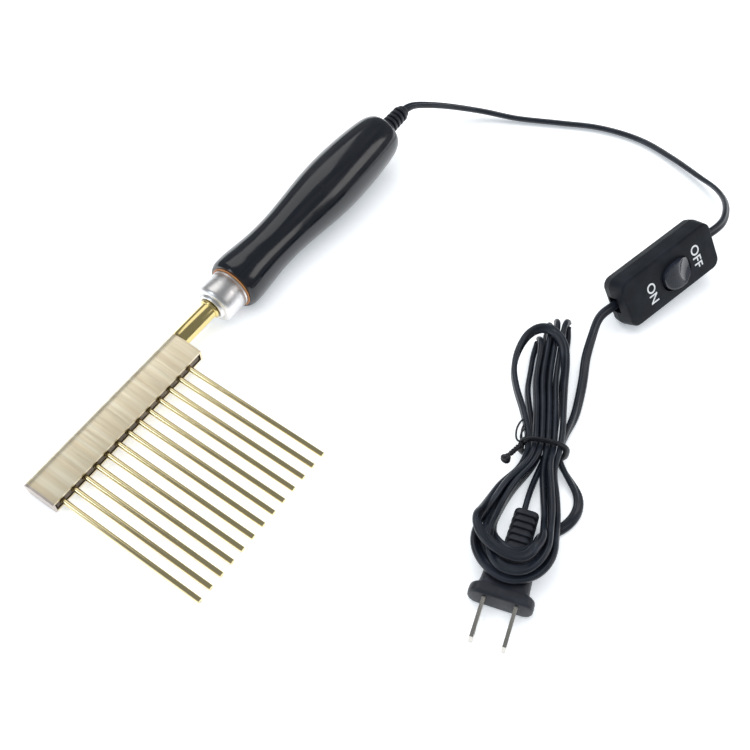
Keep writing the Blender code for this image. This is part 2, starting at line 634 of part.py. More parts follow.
def make_plug(rubber, nickel):
    half_flange, half_body, half_grip = FLANGE_WIDTH / 2, BODY_WIDTH / 2, GRIP_WIDTH / 2
    right = [(0, half_flange), (-FLANGE_THICK, half_flange - 0.6), (-FLANGE_THICK, half_body + 0.4),
             (-12, half_body), (-17, half_body - 1.2), (GRIP_START, half_grip),
             (GRIP_END, half_grip - 0.4)]
    outline = right + [(x, -y) for x, y in reversed(right)]
    body = plate("plug_body", outline, PLUG_HEIGHT)
    for corner in body.data.vertices:
        if corner.co.x < (GRIP_START + 1) * MM:
            corner.co.z *= GRIP_SCALE
    bevelled(body, 1.0)
    place(body, PLUG, rubber)
    rib_pitch = (GRIP_START - GRIP_END - 2.0) / GRIP_RIBS
    for rib in range(GRIP_RIBS):
        for side in (-1, 1):
            groove = block(f"groove_{rib}_{side}", (1.3, 20, 2.0))
            at = (GRIP_START - rib_pitch * (rib + 0.5), 0,
                  side * (PLUG_HEIGHT / 2 * GRIP_SCALE + 0.3))
            boolean(body, place(groove, PLUG, None, at))

    for name, side in (("blade_left", 1), ("blade_right", -1)):
        slot = block(f"{name}_slot", (2 * BLADE_IN + 0.6, BLADE_THICK + 2 * GAP, BLADE_WIDTH + 2 * GAP))
        at = (0, side * BLADE_SPACING / 2, 0)
        boolean(body, place(slot, PLUG, None, at))
        blade = block(name, (BLADE_OUT + BLADE_IN, BLADE_THICK, BLADE_WIDTH), 0.45)
        at = ((BLADE_OUT - BLADE_IN) / 2, side * BLADE_SPACING / 2, 0)
        place(blade, PLUG, nickel, at)
        hole = rod(f"{name}_hole", BLADE_HOLE, -3, 3)
        hole_at = (BLADE_OUT - 4.0, side * BLADE_SPACING / 2, 0)
        boolean(blade, place(hole, PLUG, None, hole_at, ALONG_Y))


# --- assembly ----------------------------------------------------------------------------------

clear_scene()
PARTS = new_collection("uncapping_fork")
CUTTERS = new_collection("cutters")

FORK = frame_empty("fork_axis", Matrix.Translation(Vector(FORK_AT) * MM)
                   @ Matrix.Rotation(math.radians(FORK_ROLL), 4, "X")
                   @ Matrix.Rotation(math.radians(-FORK_PITCH), 4, "Y"))
SWITCH = frame_empty("switch_axis", Matrix.Translation(Vector(SWITCH_AT) * MM)
                     @ Matrix.Rotation(math.radians(SWITCH_YAW), 4, "Z")
                     @ Matrix.Rotation(math.radians(-SWITCH_PITCH), 4, "Y")
                     @ Matrix.Rotation(math.radians(SWITCH_ROLL), 4, "X"))
ROCKER_AXIS = frame_empty("rocker_axis", Matrix.Translation(Vector((ROCKER_X, ROCKER_Y, PIVOT_Z)) * MM)
                          @ Matrix.Rotation(math.radians(ROCKER_REST), 4, "Y"), SWITCH)
BRIDGE_AXIS = frame_empty("bridge_axis", Matrix.Translation(Vector((ROCKER_X, ROCKER_Y, BRIDGE_Z)) * MM)
                          @ Matrix.Rotation(math.radians(BRIDGE_REST), 4, "Y"), SWITCH)
PLUG = frame_empty("plug_axis", Matrix.Translation(Vector(PLUG_AT) * MM)
                   @ Matrix.Rotation(math.radians(PLUG_YAW), 4, "Z"))

BRASS = finish_named("brushed_brass", (0.62, 0.50, 0.28), 0.32, 1.0)
POLISHED = finish_named("polished_brass", (0.66, 0.52, 0.22), 0.15, 1.0)
DARK_BRASS = finish_named("heat_darkened_brass", (0.09, 0.07, 0.05), 0.5, 1.0)
SATIN = finish_named("satin_metal", (0.60, 0.58, 0.56), 0.35, 1.0)
LACQUER = finish_named("black_lacquered_wood", (0.008, 0.009, 0.012), 0.15)
RUBBER = finish_named("black_rubber", (0.012, 0.013, 0.015), 0.55)
CORD = finish_named("cord_jacket", (0.012, 0.014, 0.017), 0.35)
PLASTIC = finish_named("black_plastic", (0.02, 0.022, 0.027), 0.5)
GLOSS = finish_named("gloss_plastic", (0.015, 0.017, 0.022), 0.15)
NICKEL = finish_named("nickel_plate", (0.55, 0.54, 0.50), 0.25, 1.0)
STEEL = finish_named("zinc_steel", (0.5, 0.5, 0.5), 0.3, 1.0)
COPPER = finish_named("copper_alloy", (0.7, 0.36, 0.2), 0.3, 1.0)
CERAMIC = finish_named("ceramic", (0.75, 0.73, 0.68), 0.6)
FIBREGLASS = finish_named("fibreglass_sleeve", (0.7, 0.66, 0.5), 0.8)

make_head(BRASS, DARK_BRASS, SATIN, CERAMIC, STEEL)
make_neck(POLISHED, SATIN, FIBREGLASS, FIBREGLASS, COPPER)
make_handle(LACQUER, RUBBER, CORD)
make_cord(CORD, RUBBER)
make_switch_case(PLASTIC, STEEL)
make_rocker(GLOSS, STEEL, COPPER)
make_contacts(COPPER, BRASS, STEEL)
make_plug(RUBBER, NICKEL)
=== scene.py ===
import json
import math

import bmesh
import bpy
from mathutils import Matrix, Vector


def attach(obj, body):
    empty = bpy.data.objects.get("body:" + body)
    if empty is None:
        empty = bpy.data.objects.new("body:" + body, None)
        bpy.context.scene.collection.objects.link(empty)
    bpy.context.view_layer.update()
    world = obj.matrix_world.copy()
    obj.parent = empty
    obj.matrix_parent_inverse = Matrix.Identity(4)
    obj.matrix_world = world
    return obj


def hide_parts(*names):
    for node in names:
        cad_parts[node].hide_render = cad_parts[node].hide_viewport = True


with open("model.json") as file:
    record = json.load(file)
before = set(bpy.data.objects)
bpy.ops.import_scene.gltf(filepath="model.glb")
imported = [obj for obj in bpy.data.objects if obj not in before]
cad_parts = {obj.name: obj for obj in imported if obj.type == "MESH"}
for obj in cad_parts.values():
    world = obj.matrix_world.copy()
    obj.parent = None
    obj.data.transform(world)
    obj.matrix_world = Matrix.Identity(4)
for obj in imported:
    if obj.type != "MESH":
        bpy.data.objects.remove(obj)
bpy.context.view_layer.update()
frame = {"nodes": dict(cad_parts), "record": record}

MM = 0.001
UP = Vector((0, 0, 1))

# Where the button's pivot sits in the switch, and its tilt at rest, with the OFF end pressed
ROCKER_X = 2.6
ROCKER_Y = -1.0
ROCKER_Z = 3.0
ROCKER_REST = math.radians(8.0)

# Places, the same as in the CAD
FORK = (Matrix.Translation(Vector((-88.34, 36.34, 7.02)) * MM)
        @ Matrix.Rotation(math.radians(2.07), 4, "X")
        @ Matrix.Rotation(math.radians(-3.88), 4, "Y"))
SWITCH = (Matrix.Translation(Vector((115.34, -120.26, 16.20)) * MM)
          @ Matrix.Rotation(math.radians(-15.7), 4, "Z")
          @ Matrix.Rotation(math.radians(-6.5), 4, "Y")
          @ Matrix.Rotation(math.radians(59.5), 4, "X"))
ROCKER = (SWITCH @ Matrix.Translation(Vector((ROCKER_X, ROCKER_Y, ROCKER_Z)) * MM)
          @ Matrix.Rotation(ROCKER_REST, 4, "Y"))
PLUG = (Matrix.Translation(Vector((-63.04, -145.22, 5.6)) * MM)
        @ Matrix.Rotation(math.radians(196.4), 4, "Z"))
WAIST = Vector((5.9, -122.8, 0))  # where the tie goes round the hank
UPPER_TURN = math.radians(23.6)
LOWER_TURN = math.radians(198.2)

# Head and tines: X runs along the handle's axis, and the tines point to -Y
HEAD_END = -44.0
HEAD_NECK = 47.5
HEAD_FACE = -13.3
HEAD_BACK = 4.4
HEAD_NOSE = -0.8
HEAD_HALF = 3.8
HEAD_FACE_HALF = 3.15
HEAD_WALL = 0.9
CAP_THICK = 1.0
TINES = 13
TINE_PITCH = 6.5
TINE_RADIUS = 1.2
TINE_TIP = 86.8
TINE_ROOT = 8.6

# Neck, ferrule, handle
NECK_RADIUS = 4.1
BEAD_AT = 68.6
FERRULE_FRONT = 70.4
FERRULE_BACK = 83.6
FERRULE_RADIUS = 9.9
HANDLE_SHAPE = (
    (84.1, 11.9), (85.6, 12.8), (90.7, 13.1), (98.8, 12.45), (107.0, 11.75), (115.5, 11.5),
    (124.0, 11.75), (132.5, 12.45), (141.5, 13.35), (150.5, 14.15), (161.0, 14.6), (170.0, 14.5),
    (178.0, 14.15), (187.0, 13.45), (193.5, 12.7), (198.5, 11.7), (201.8, 10.2), (203.2, 8.2),
)
RELIEF_START = 190.0
RELIEF_OUT = 203.8
RELIEF_END = 221.0
RELIEF_RIBS = 5

# Flat twin cord
CORD_WIDTH = 4.6
CORD_THICK = 2.5
CORD_GROOVE = 0.45
CORD_STEP = 1.5
ON_EDGE = 0.0
FLAT = 90.0

# Switch and plug
SWITCH_LENGTH = 57.0
SWITCH_WIDTH = 25.0
SWITCH_HALF = 6.5
SWITCH_SEAM = -1.5
SEAM_GAP = 0.08
SWITCH_CORNER = 4.5
CASE_EDGE = 1.1
CASE_WALL = 1.5
CASE_TAPER = 0.6
CASE_SCREWS = ((-20.5, -7.8), (20.5, 7.8))
CORD_NOTCH = 8.0
CORD_NOTCH_Z = (-4.4, 1.0)
CORD_LINE_Z = -1.7
WINDOW_HALF = (9.2, 7.0)
LIP_HALF = (9.05, 6.85)
BUTTON_HALF = (8.4, 6.2)
BUTTON_FOOT = -1.6
RIDGE_X = 0.2
RIDGE_Z = 6.1
RIDGE_ROUND = 0.25
RISE_SLOPE = 0.10
RISE_CURVE = 0.022
SCOOP_X = 6.5
SCOOP_Z = 20.7
SCOOP_RADIUS = 16.4
PRINT_SIZE = 6.6
PRINT_PROUD = 0.02
PLUG_RIBS = 5
PLUG_RIB_PITCH = 3.1
BLADE_SPACING = 12.7
BLADE_WIDTH = 6.35
BLADE_THICK = 1.5
BLADE_OUT = 17.6
BLADE_IN = 5.6
BLADE_HOLE = 1.55


# --- materials ---------------------------------------------------------------------------------

class Finish:
    """A Principled material and the nodes of its detail, read in the object's own frame."""

    def __init__(self, name, colour, roughness, metallic=0.0, coat=0.0, specular=0.5):
        self.material = bpy.data.materials.new(name)
        self.material.use_nodes = True
        self.nodes = self.material.node_tree.nodes
        self.links = self.material.node_tree.links
        self.shader = self.nodes["Principled BSDF"]
        self.shader.inputs["Base Color"].default_value = (*colour, 1)
        self.shader.inputs["Roughness"].default_value = roughness
        self.shader.inputs["Metallic"].default_value = metallic
        self.shader.inputs["Coat Weight"].default_value = coat
        self.shader.inputs["Coat Roughness"].default_value = 0.08
        self.shader.inputs["Specular IOR Level"].default_value = specular
        self.normal = None
        coordinates = self.nodes.new("ShaderNodeTexCoord")
        self.place = coordinates.outputs["Object"]

    def noise(self, scale, detail=4.0, stretch=(1, 1, 1)):
        """Noise round 0.5. An axis with a small stretch draws it out into streaks along it."""
        mapping = self.nodes.new("ShaderNodeMapping")
        mapping.inputs["Scale"].default_value = stretch
        self.links.new(self.place, mapping.inputs["Vector"])
        texture = self.nodes.new("ShaderNodeTexNoise")
        texture.inputs["Scale"].default_value = scale
        texture.inputs["Detail"].default_value = detail
        self.links.new(mapping.outputs["Vector"], texture.inputs["Vector"])
        return texture.outputs["Fac"]

    def spots(self, scale, size):
        """1 in small round specks scattered at that scale, 0 elsewhere."""
        texture = self.nodes.new("ShaderNodeTexVoronoi")
        texture.inputs["Scale"].default_value = scale
        self.links.new(self.place, texture.inputs["Vector"])
        return self.ranged(texture.outputs["Distance"], size, size * 0.5, 0.0, 1.0)

    def ranged(self, value, low, high, to_low, to_high):
        """The value carried from the range low-high to the range to_low-to_high."""
        node = self.nodes.new("ShaderNodeMapRange")
        node.inputs["From Min"].default_value = low
        node.inputs["From Max"].default_value = high
        node.inputs["To Min"].default_value = to_low
        node.inputs["To Max"].default_value = to_high
        self.links.new(value, node.inputs["Value"])
        return node.outputs["Result"]

    def vary_colour(self, value, other, low=0.35, high=0.65):
        """From the colour so far to another one, as the value goes from low to high."""
        mix = self.nodes.new("ShaderNodeMix")
        mix.data_type = "RGBA"
        base = self.shader.inputs["Base Color"]
        if base.is_linked:
            self.links.new(base.links[0].from_socket, mix.inputs["A"])
        else:
            mix.inputs["A"].default_value = base.default_value
        mix.inputs["B"].default_value = (*other, 1)
        self.links.new(self.ranged(value, low, high, 0.0, 1.0), mix.inputs["Factor"])
        self.links.new(mix.outputs["Result"], base)
        return self

    def vary_roughness(self, value, low, high):
        self.links.new(self.ranged(value, 0.3, 0.7, low, high), self.shader.inputs["Roughness"])
        return self

    def bump(self, value, depth, strength):
        """Relief of that depth in millimetres, on top of the relief so far."""
        node = self.nodes.new("ShaderNodeBump")
        node.inputs["Distance"].default_value = depth * MM
        node.inputs["Strength"].default_value = strength
        self.links.new(value, node.inputs["Height"])
        if self.normal is not None:
            self.links.new(self.normal, node.inputs["Normal"])
        self.normal = node.outputs["Normal"]
        self.links.new(self.normal, self.shader.inputs["Normal"])
        return self


def brushed_brass():
    """Champagne brass, brushed across the head."""
    made = Finish("brushed_brass", (0.80, 0.70, 0.51), 0.42, 1.0)
    streaks = made.noise(900, 4, (1, 0.03, 0.03))
    wide_streaks = made.noise(300, 4, (1, 0.04, 0.04))
    made.vary_colour(wide_streaks, (0.93, 0.86, 0.68), 0.40, 0.62)
    made.vary_colour(made.noise(18, 2), (0.76, 0.65, 0.46), 0.45, 0.85)
    made.vary_roughness(streaks, 0.34, 0.50)
    return made.bump(streaks, 0.02, 0.5).material


def polished_brass(name="polished_brass", colour=(0.80, 0.66, 0.30), roughness=0.16):
    made = Finish(name, colour, roughness, 1.0)
    drawn = made.noise(900, 2, (0.02, 1, 1))
    made.vary_colour(made.noise(60, 3), tuple(part * 0.90 for part in colour), 0.4, 0.8)
    made.vary_roughness(made.noise(90, 3), roughness - 0.03, roughness + 0.07)
    return made.bump(drawn, 0.002, 0.25).material


def dark_brass():
    made = Finish("heat_darkened_brass", (0.13, 0.105, 0.085), 0.5, 0.8)
    made.vary_colour(made.noise(220, 5), (0.26, 0.21, 0.16), 0.4, 0.75)
    made.vary_roughness(made.noise(300, 4), 0.38, 0.62)
    return made.bump(made.noise(800, 4), 0.03, 0.5).material


def satin_metal():
    made = Finish("satin_metal", (0.84, 0.83, 0.83), 0.36, 1.0)
    turned_lines = made.noise(700, 3, (1, 0.02, 0.02))
    made.vary_colour(made.noise(70, 3), (0.72, 0.71, 0.71), 0.4, 0.8)
    made.vary_roughness(turned_lines, 0.30, 0.44)
    return made.bump(turned_lines, 0.01, 0.5).material


def cap_metal():
    made = Finish("cap_metal", (0.62, 0.56, 0.52), 0.42, 1.0)
    made.vary_colour(made.noise(150, 3), (0.54, 0.48, 0.44), 0.4, 0.8)
    made.vary_roughness(made.noise(260, 4), 0.34, 0.48)
    return made.bump(made.noise(900, 3), 0.01, 0.4).material


def black_lacquer():
    """Glossy black lacquer over turned wood, with a little grain and dust in it."""
    made = Finish("black_lacquer", (0.003, 0.005, 0.009), 0.18, 0.0, 0.25)
    grain = made.noise(260, 5, (0.06, 1, 1))
    made.vary_colour(grain, (0.013, 0.014, 0.019), 0.45, 0.75)
    made.vary_colour(made.spots(330, 0.055), (0.09, 0.085, 0.08), 0.3, 1.0)
    made.vary_roughness(made.noise(120, 4), 0.10, 0.22)
    made.bump(grain, 0.02, 0.35)
    return made.bump(made.noise(45, 2), 0.05, 0.3).material


def bare_wood():
    made = Finish("bare_wood", (0.52, 0.20, 0.07), 0.5)
    made.vary_colour(made.noise(200, 4, (0.1, 1, 1)), (0.70, 0.34, 0.13), 0.4, 0.7)
    return made.bump(made.noise(500, 4, (0.1, 1, 1)), 0.03, 0.5).material


def black_plastic(name, colour, roughness, texture_scale=900.0, relief=0.012, coat=0.0,
                  specular=0.5):
    """Moulded or extruded black plastic: fine texture, slightly uneven tone and sheen."""
    made = Finish(name, colour, roughness, 0.0, coat, specular)
    lighter = tuple(min(1.0, part * 1.9 + 0.004) for part in colour)
    made.vary_colour(made.noise(130, 4), lighter, 0.45, 0.85)
    made.vary_roughness(made.noise(90, 3), roughness - 0.06, roughness + 0.08)
    return made.bump(made.noise(texture_scale, 3), relief, 0.6).material


def nickel_plate():
    made = Finish("nickel_plate", (0.68, 0.65, 0.60), 0.24, 1.0)
    rolled = made.noise(600, 3, (0.04, 1, 1))
    made.vary_colour(made.noise(110, 4), (0.56, 0.53, 0.48), 0.4, 0.8)
    made.vary_roughness(rolled, 0.18, 0.34)
    return made.bump(rolled, 0.01, 0.5).material


def plain_metal(name, colour, roughness):
    made = Finish(name, colour, roughness, 1.0)
    made.vary_colour(made.noise(200, 3), tuple(part * 0.8 for part in colour), 0.4, 0.8)
    return made.vary_roughness(made.noise(300, 4), roughness - 0.06, roughness + 0.1).material


def rough_solid(name, colour, stretch=(1, 1, 1)):
    """Ceramic, or woven fibreglass when stretched."""
    made = Finish(name, colour, 0.75)
    made.vary_colour(made.noise(400, 4, stretch), tuple(part * 0.75 for part in colour), 0.4, 0.7)
    return made.bump(made.noise(900, 3, stretch), 0.05, 0.7).material


def print_white():
    made = Finish("switch_print", (0.80, 0.82, 0.84), 0.5)
    made.vary_colour(made.noise(900, 4), (0.62, 0.64, 0.67), 0.5, 0.8)
    return made.bump(made.noise(1500, 3), 0.01, 0.4).material


FINISHES = {
    "brushed_brass": brushed_brass(),
    "tine_brass": polished_brass("tine_brass", (0.84, 0.72, 0.42), 0.15),
    "polished_brass": polished_brass(),
    "dark_brass": dark_brass(),
    "satin_metal": satin_metal(),
    "lacquered_wood": black_lacquer(),
    "black_rubber": black_plastic("black_rubber", (0.010, 0.012, 0.018), 0.42),
    "cord_jacket": black_plastic("cord_jacket", (0.009, 0.012, 0.019), 0.32, 1400, 0.005),
    "tie_plastic": black_plastic("tie_plastic", (0.010, 0.011, 0.014), 0.33),
    "matte_plastic": black_plastic("matte_plastic", (0.006, 0.008, 0.012), 0.50, 1300, 0.02,
                                   specular=0.22),
    "gloss_plastic": black_plastic("gloss_plastic", (0.014, 0.017, 0.026), 0.26, 500, 0.006,
                                   coat=0.5),
    "plug_vinyl": black_plastic("plug_vinyl", (0.012, 0.014, 0.020), 0.45, 1100, 0.05),
    "nickel": nickel_plate(),
    "steel": plain_metal("zinc_steel", (0.62, 0.63, 0.65), 0.32),
    "copper": plain_metal("copper", (0.78, 0.42, 0.27), 0.30),
    "terminal_brass": plain_metal("terminal_brass", (0.72, 0.57, 0.29), 0.30),
    "ceramic": rough_solid("ceramic", (0.78, 0.75, 0.70)),
    "fibreglass": rough_solid("fibreglass", (0.70, 0.66, 0.52), (0.2, 1, 1)),
}
BARE_WOOD = bare_wood()
CAP_METAL = cap_metal()
PRINT_WHITE = print_white()


# --- making pieces -----------------------------------------------------------------------------

def as_piece(name, shape, slot, matrix, nodes=(), body="root", sharp=32, finish=None):
    """The bmesh as a finished piece: smooth, in its material, riding on its body."""
    bmesh.ops.recalc_face_normals(shape, faces=shape.faces)
    mesh = bpy.data.meshes.new(name)
    shape.to_mesh(mesh)
    shape.free()
    mesh.shade_smooth()
    mesh.set_sharp_from_angle(angle=math.radians(sharp))
    mesh.materials.append(finish or FINISHES[slot])
    obj = bpy.data.objects.new(name, mesh)
    bpy.context.scene.collection.objects.link(obj)
    obj.matrix_world = matrix
    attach(obj, body)
    if nodes:
        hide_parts(*nodes)
    return obj


def skin(rings, closed_along=False):
    """A surface over rings of points in millimetres, with its ends filled unless it closes."""
    shape = bmesh.new()
    rows = [[shape.verts.new(Vector(point) * MM) for point in ring] for ring in rings]
    count = len(rows[0])
    pairs = list(zip(rows, rows[1:]))
    if closed_along:
        pairs.append((rows[-1], rows[0]))
    for near, far in pairs:
        for index in range(count):
            after = (index + 1) % count
            shape.faces.new((near[index], near[after], far[after], far[index]))
    if not closed_along:
        shape.faces.new(rows[0][::-1])
        shape.faces.new(rows[-1])
    return shape


def turned(profile, sides=96, hollow=False):
    """A shape turned round X from (along, radius) points. A hollow one's profile is closed."""
    rings = []
    for along, radius in profile:
        angles = [2 * math.pi * side / sides for side in range(sides)]
        rings.append([(along, radius * math.cos(angle), radius * math.sin(angle))
                      for angle in angles])
    return skin(rings, hollow)


def prism(outline, low, high):
    """An outline in XY, extruded from low to high along Z."""
    return skin([[(x, y, low) for x, y in outline], [(x, y, high) for x, y in outline]])


def rounded(shape, width, angle):
    """Bevels the edges that turn by more than the angle."""
    edges = [edge for edge in shape.edges
             if edge.is_manifold and edge.calc_face_angle(0) > math.radians(angle)]
    bmesh.ops.bevel(shape, geom=edges, offset=width * MM, segments=3, profile=0.5,
                    affect="EDGES", clamp_overlap=True)
    return shape


def cut(shape, cutter):
    """The first bmesh with the second taken away, exactly."""
    objects = []
    for part in (shape, cutter):
        bmesh.ops.recalc_face_normals(part, faces=part.faces)
        mesh = bpy.data.meshes.new("boolean")
        part.to_mesh(mesh)
        part.free()
        obj = bpy.data.objects.new("boolean", mesh)
        bpy.context.scene.collection.objects.link(obj)
        objects.append(obj)
    modifier = objects[0].modifiers.new("cut", "BOOLEAN")
    modifier.operation = "DIFFERENCE"
    modifier.object = objects[1]
    seen = objects[0].evaluated_get(bpy.context.evaluated_depsgraph_get())
    result = bmesh.new()
    result.from_mesh(seen.to_mesh())
    for obj in objects:
        mesh = obj.data
        bpy.data.objects.remove(obj)
        bpy.data.meshes.remove(mesh)
    bmesh.ops.remove_doubles(result, verts=result.verts, dist=0.004 * MM)
    return result


def shifted(shape, x, y=0):
    """The bmesh moved by millimetres in XY."""
    bmesh.ops.translate(shape, vec=Vector((x * MM, y * MM, 0)), verts=shape.verts)
    return shape


def rounded_outline(length, width, corner, steps=10):
    """A rectangle with round corners."""
    outline = []
    for quarter in range(4):
        centre_x = (length / 2 - corner) * (1 if quarter in (0, 3) else -1)
        centre_y = (width / 2 - corner) * (1 if quarter in (0, 1) else -1)
        for step in range(steps + 1):
            angle = math.pi / 2 * (quarter + step / steps)
            outline.append((centre_x + corner * math.cos(angle),
                            centre_y + corner * math.sin(angle)))
    return outline


def oval_outline(half_x, half_y, count=64, power=2.5):
    """A superellipse, squarer as the power grows."""
    outline = []
    for step in range(count):
        angle = 2 * math.pi * step / count
        reach = [math.copysign(abs(part) ** (2 / power), part)
                 for part in (math.cos(angle), math.sin(angle))]
        outline.append((half_x * reach[0], half_y * reach[1]))
    return outline


CURVE_PIECES = 24  # straight pieces that each stretch of a smooth curve is measured in


def smooth_through(points, step):
    """Evenly spaced points of a smooth curve through the given (x, y, z, roll)."""
    points = [Vector(point) for point in points]
    dense = [points[0]]
    for index in range(len(points) - 1):
        start, end = points[index], points[index + 1]
        before = points[index - 1] if index else start * 2 - end
        after = points[index + 2] if index + 2 < len(points) else end * 2 - start
        gaps = [max((b.xyz - a.xyz).length, 0.01) ** 0.5
                for a, b in ((before, start), (start, end), (end, after))]
        leave = gaps[1] * ((start - before) / gaps[0] - (end - before) / (gaps[0] + gaps[1])
                           + (end - start) / gaps[1])
        arrive = gaps[1] * ((end - start) / gaps[1] - (after - start) / (gaps[1] + gaps[2])
                            + (after - end) / gaps[2])
        for piece in range(1, CURVE_PIECES + 1):
            t = piece / CURVE_PIECES
            dense.append(start * (2 * t**3 - 3 * t**2 + 1) + leave * (t**3 - 2 * t**2 + t)
                         + end * (3 * t**2 - 2 * t**3) + arrive * (t**3 - t**2))
    travelled = [0.0]
    for near, far in zip(dense, dense[1:]):
        travelled.append(travelled[-1] + (far.xyz - near.xyz).length)
    count = max(2, round(travelled[-1] / step))
    even, position = [], 0
    for index in range(count + 1):
        wanted = travelled[-1] * index / count
        while position < len(dense) - 2 and travelled[position + 1] < wanted:
            position += 1
        span = max(travelled[position + 1] - travelled[position], 1e-9)
        share = (wanted - travelled[position]) / span
        even.append(dense[position].lerp(dense[position + 1], share))
    return even


def softened(points, rounds):
    """The points with small kinks eased out, its ends kept."""
    for _ in range(rounds):
        inner = [(points[i - 1] + points[i] * 2 + points[i + 1]) / 4
                 for i in range(1, len(points) - 1)]
        points = [points[0], *inner, points[-1]]
    return points


STEEP = 0.35  # on a run steeper than this, the section's side carries over from the ring before


def swept(path, section):
    """A section (wide, thin) carried along a path of (x, y, z, roll): at roll 0 its wide side
    stands up, at 90 degrees it lies flat."""
    rings = []
    side = None
    for index, point in enumerate(path):
        ahead = path[min(index + 1, len(path) - 1)].xyz
        behind = path[max(index - 1, 0)].xyz
        along = (ahead - behind).normalized()
        level = UP.cross(along)
        if side is None:
            side = level.normalized()
        elif level.length > STEEP:
            side = level.normalized() * (1 if level.dot(side) > 0 else -1)
        side = (side - along * side.dot(along)).normalized()
        tall = along.cross(side)
        turn = math.radians(point[3])
        wide_axis = tall * math.cos(turn) - side * math.sin(turn)
        thin_axis = side * math.cos(turn) + tall * math.sin(turn)
        rings.append([point.xyz + wide_axis * wide + thin_axis * thin for wide, thin in section])
    return skin(rings)


def twin_section():
    """The cord's outline: two round cores side by side, with a shallow groove between them."""
    core = CORD_THICK / 2
    apart = CORD_WIDTH / 2 - core
    lobe = [math.radians(angle) for angle in (-104, -75, -45, -15, 15, 45, 75, 104)]
    right = [(apart + core * math.cos(angle), core * math.sin(angle)) for angle in lobe]
    groove = (0.0, core - CORD_GROOVE)
    left = [(-wide, -thin) for wide, thin in right]
    return [*right, groove, *left, (-groove[0], -groove[1])]


def round_section(radius, sides):
    return [(radius * math.cos(2 * math.pi * side / sides),
             radius * math.sin(2 * math.pi * side / sides)) for side in range(sides)]


# --- camera ------------------------------------------------------------------------------------

CAMERA_PLACE = Vector((-0.23544, -0.21123, 0.39550))
CAMERA_TARGET = Vector((0.00062, -0.04098, 0.0))
CAMERA_LENS = 52.94


def make_camera():
    data = bpy.data.cameras.new("camera")
    data.sensor_width = 36.0
    data.lens = CAMERA_LENS
    data.clip_start = 0.01
    camera = bpy.data.objects.new("camera", data)
    bpy.context.scene.collection.objects.link(camera)
    camera.location = CAMERA_PLACE
    camera.rotation_euler = (CAMERA_TARGET - CAMERA_PLACE).to_track_quat("-Z", "Y").to_euler()
    bpy.context.scene.camera = camera


make_camera()


# --- cord and hank -----------------------------------------------------------------------------

SWITCH_ROLL = 30.5  # the cord's wide side follows the tipped switch
SWITCH_MOUTH = 28.6  # where the cord goes into the case, along the switch
SWITCH_INSIDE = 24.5
# The cord's free stretches, as listed points (x, y, z, roll)
TO_SWITCH = (
    (133.2, 35.8, 22.0, 88), (138.6, 34.9, 21.2, 86), (146.0, 31.6, 18.2, 80),
    (155.6, 26.0, 13.8, 74), (165.2, 18.3, 9.2, 68), (173.1, 9.8, 5.6, 64), (180.5, -3.4, 3.0, 60),
    (191.8, -24.4, 2.3, 60), (200.9, -43.5, 2.3, 60), (204.9, -65.1, 2.3, 60),
    (201.5, -85.2, 3.0, 56), (194.2, -104.8, 5.2, 50), (189.0, -113.8, 8.0, 46),
    (180.0, -122.0, 12.0, 42), (168.9, -127.3, 16.0, 36), (158.5, -129.7, 18.2, 32),
    (150.6, -128.9, 19.2, SWITCH_ROLL), (145.9, -127.3, 18.9, SWITCH_ROLL),
)
TO_TIE = (
    (85.9, -110.4, 11.9, SWITCH_ROLL), (80.1, -108.6, 10.9, 34), (69.1, -111.0, 6.8, 48),
    (60.7, -113.5, 4.0, 58), (51.8, -117.5, 2.7, 60), (42.8, -121.0, 2.4, 60),
    (31.1, -124.8, 2.6, 40), (19.5, -126.6, 3.3, 10),
)
SIDE_LOOP = (
    (5.0, -133.1, 4.6, 10), (2.1, -138.5, 3.4, 35), (-2.0, -145.5, 2.4, 58),
    (-8.4, -148.8, 2.2, 66), (-14.1, -148.9, 1.9, 80),
)
# Strand places in the tie: six lanes side by side, two layers
LANE_PITCH = 2.62
LANE_CENTRE = 0.8
LAYER = {"low": 3.9, "high": 8.6}
# The upper folds by lane: (across of the upper leg, across of the lower leg, reach)
UPPER_FOLDS = {
    1: (-7.0, -9.7, 58.0),
    2: (-4.1, -5.6, 67.0),
    3: (-1.0, -2.5, 69.8),
    4: (1.7, 4.6, 70.6),
}
# The legs of the laps below the tie: strands side by side, and where they climb onto the plug
LEG_PITCH = 2.75
LEG_SPREAD = {-1: 0.0, 1: -1.8}
LEG_REACH = 64.5
CLIMB_START = 26.0
CLIMB_SPAN = 32.0
INNER, MIDDLE, OUTER = -1, 0, 1
# The low lap that the side loop runs into, (along, across, height, roll where not on edge)
FIRST_LAP = (
    (31.5, 15.6, 1.5, FLAT), (35.0, 11.6, 1.5, FLAT), (38.6, 8.6, 3.0, 60), (43.5, 7.7, 6.6, 25),
    (48.0, 6.8, 10.4, 45), (51.8, 3.9, 12.0, FLAT), (53.4, 0.0, 12.3, FLAT),
    (52.0, -4.4, 12.0, FLAT), (48.5, -8.2, 9.6, 50), (43.0, -10.3, 5.6, 15), (34.0, -10.4, 2.9),
    (20.0, -7.2, 2.7), (9.0, -2.6, 3.2),
)
